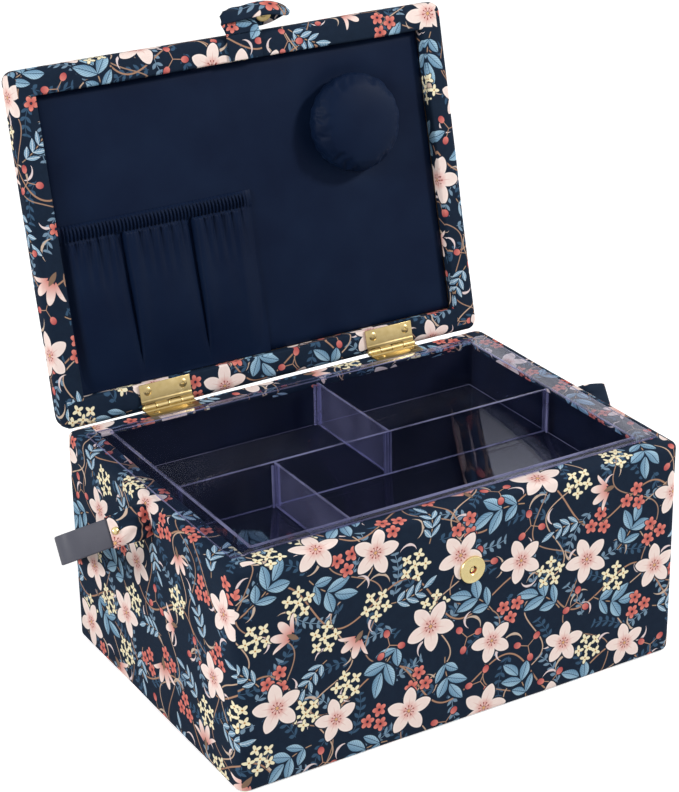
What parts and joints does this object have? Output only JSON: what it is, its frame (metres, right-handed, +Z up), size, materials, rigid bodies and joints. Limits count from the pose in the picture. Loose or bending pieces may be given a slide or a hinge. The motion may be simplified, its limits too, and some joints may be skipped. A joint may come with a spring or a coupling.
{
  "type": "sewing box",
  "caption": "Cloth-covered box with a hinged padded lid, a lift-out clear tray with dividers, a strap handle and a snap clasp.",
  "frame": {"origin": "centre of the box's flat bottom", "axes": "+Z up, the front with the snap towards -Y, +X to the right as seen from the front; the lid stands open at the back"},
  "size_m": [0.328, 0.2407, 0.3169],
  "materials": {
    "print": "woven cotton with a printed scatter of flowers and leaves on navy",
    "navy": "plain navy satin-like lining cloth",
    "clear": "clear moulded plastic",
    "brass": "pale gold plated",
    "strap": "smooth grey imitation leather",
    "board": "raw fibreboard, hidden under the cloth"
  },
  "bodies": {
    "base": {"bottom_board": "board", "front_board": "board", "back_board": "board", "left_board": "board", "right_board": "board", "box_cover": "print", "box_lining": "navy", "snap_front_half": "brass", "left_hinge_base_leaf": "brass", "right_hinge_base_leaf": "brass", "left_hinge_pin": "brass", "right_hinge_pin": "brass", "base_screw_left_outer": "brass", "base_screw_left_inner": "brass", "base_screw_right_outer": "brass", "base_screw_right_inner": "brass"},
    "lid": {"lid_board": "board", "lid_back_rail": "board", "lid_front_rail": "board", "lid_left_rail": "board", "lid_right_rail": "board", "lid_cover": "print", "clasp_tab_end": "print", "lid_panel": "navy", "lid_pocket": "navy", "pocket_band": "navy", "pincushion": "navy", "left_hinge_lid_leaf": "brass", "right_hinge_lid_leaf": "brass", "lid_screw_left_outer": "brass", "lid_screw_left_inner": "brass", "lid_screw_right_outer": "brass", "lid_screw_right_inner": "brass"},
    "clasp_flap": {"clasp_tab": "print", "snap_tab_half": "brass"},
    "tray": {"tray": "clear"},
    "long_divider": {"tray_long_divider": "clear"},
    "back_divider": {"tray_back_divider": "clear"},
    "front_divider": {"tray_front_divider": "clear"},
    "handle": {"handle_strap": "strap", "left_handle_sleeve": "print", "right_handle_sleeve": "print", "left_handle_rivet": "brass", "right_handle_rivet": "brass"}
  },
  "joints": [
    {"name": "lid_hinge", "type": "hinge", "parent": "base", "child": "lid", "pos_m": [0, 0.0913, 0.1226], "axis": [-1, 0, 0], "range_deg": [-102.8, 0]},
    {"name": "clasp_tab_fold", "type": "hinge", "parent": "lid", "child": "clasp_flap", "pos_m": [0.005, 0.13276, 0.30372], "axis": [1, 0, 0], "range_deg": [0, 90]},
    {"name": "tray_lift", "type": "slide", "parent": "base", "child": "tray", "axis": [0, 0, 1], "range_m": [0, 0.1]},
    {"name": "long_divider_lift", "type": "slide", "parent": "tray", "child": "long_divider", "axis": [0, 0, 1], "range_m": [0, 0.03]},
    {"name": "back_divider_lift", "type": "slide", "parent": "tray", "child": "back_divider", "axis": [0, 0, 1], "range_m": [0, 0.03]},
    {"name": "front_divider_lift", "type": "slide", "parent": "tray", "child": "front_divider", "axis": [0, 0, 1], "range_m": [0, 0.03]},
    {"name": "handle_swing", "type": "hinge", "parent": "base", "child": "handle", "pos_m": [0, -0.005, 0.1112], "axis": [1, 0, 0], "range_deg": [0, 33]}
  ]
}
